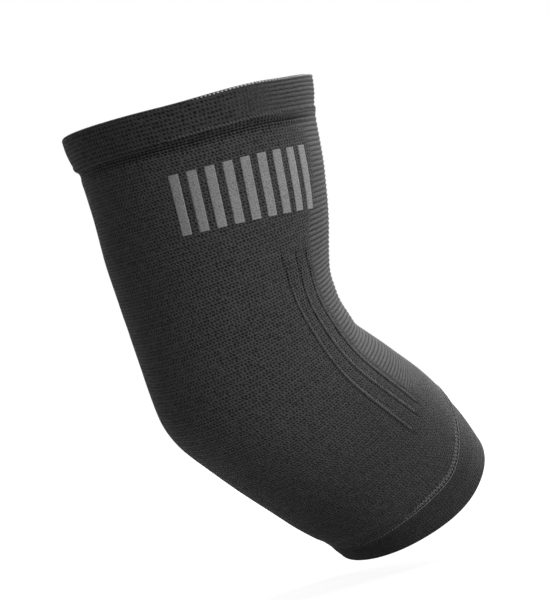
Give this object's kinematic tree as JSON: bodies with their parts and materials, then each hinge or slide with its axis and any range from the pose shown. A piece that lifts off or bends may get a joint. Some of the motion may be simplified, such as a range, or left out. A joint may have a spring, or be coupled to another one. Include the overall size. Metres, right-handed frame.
{
  "type": "elbow support sleeve",
  "caption": "Pull-on knitted elastic sleeve that compresses and supports the elbow, with a turned cuff at each end, ribs down both sides and a bend at the elbow.",
  "frame": {"origin": "centre of the upper arm opening, on the plane of its rim", "axes": "+Z along the upper arm, out of the upper opening towards the shoulder; +X towards the front of the arm, the side that the forearm bends to; -Y towards the outer side of the arm, which carries the printed bars"},
  "size_m": [0.1647, 0.1098, 0.2131],
  "materials": {
    "knit": "charcoal elastic knit, fine bird's-eye stitch",
    "rib": "charcoal elastic knit, raised rib",
    "dark_thread": "charcoal polyester sewing thread",
    "grey_thread": "light grey polyester sewing thread",
    "elastic": "off-white covered elastic thread",
    "print": "thin matt light grey screen print"
  },
  "bodies": {
    "upper_arm": {"upper_arm_knit": "knit", "elbow_knit": "knit", "upper_cuff_outer": "knit", "upper_cuff_lining": "knit", "upper_cuff_elastic": "elastic", "upper_needle_thread": "dark_thread", "upper_looper_thread": "dark_thread", "outer_rib_back": "rib", "outer_rib_middle": "rib", "outer_rib_front": "rib", "inner_rib_back": "rib", "inner_rib_middle": "rib", "inner_rib_front": "rib", "printed_bars": "print"},
    "forearm": {"forearm_knit": "knit", "lower_hem_outer": "knit", "lower_hem_lining": "knit", "lower_needle_thread": "grey_thread", "lower_looper_thread": "grey_thread"}
  },
  "joints": [
    {"name": "elbow_flex", "type": "hinge", "parent": "upper_arm", "child": "forearm", "pos_m": [0.00634, 0, -0.11402], "axis": [0, -1, 0], "range_deg": [-50, 70], "stiffness_Nm_per_rad": 0.4, "deforming": ["elbow_knit", "outer_rib_back", "outer_rib_middle", "outer_rib_front", "inner_rib_back", "inner_rib_middle", "inner_rib_front"]}
  ]
}
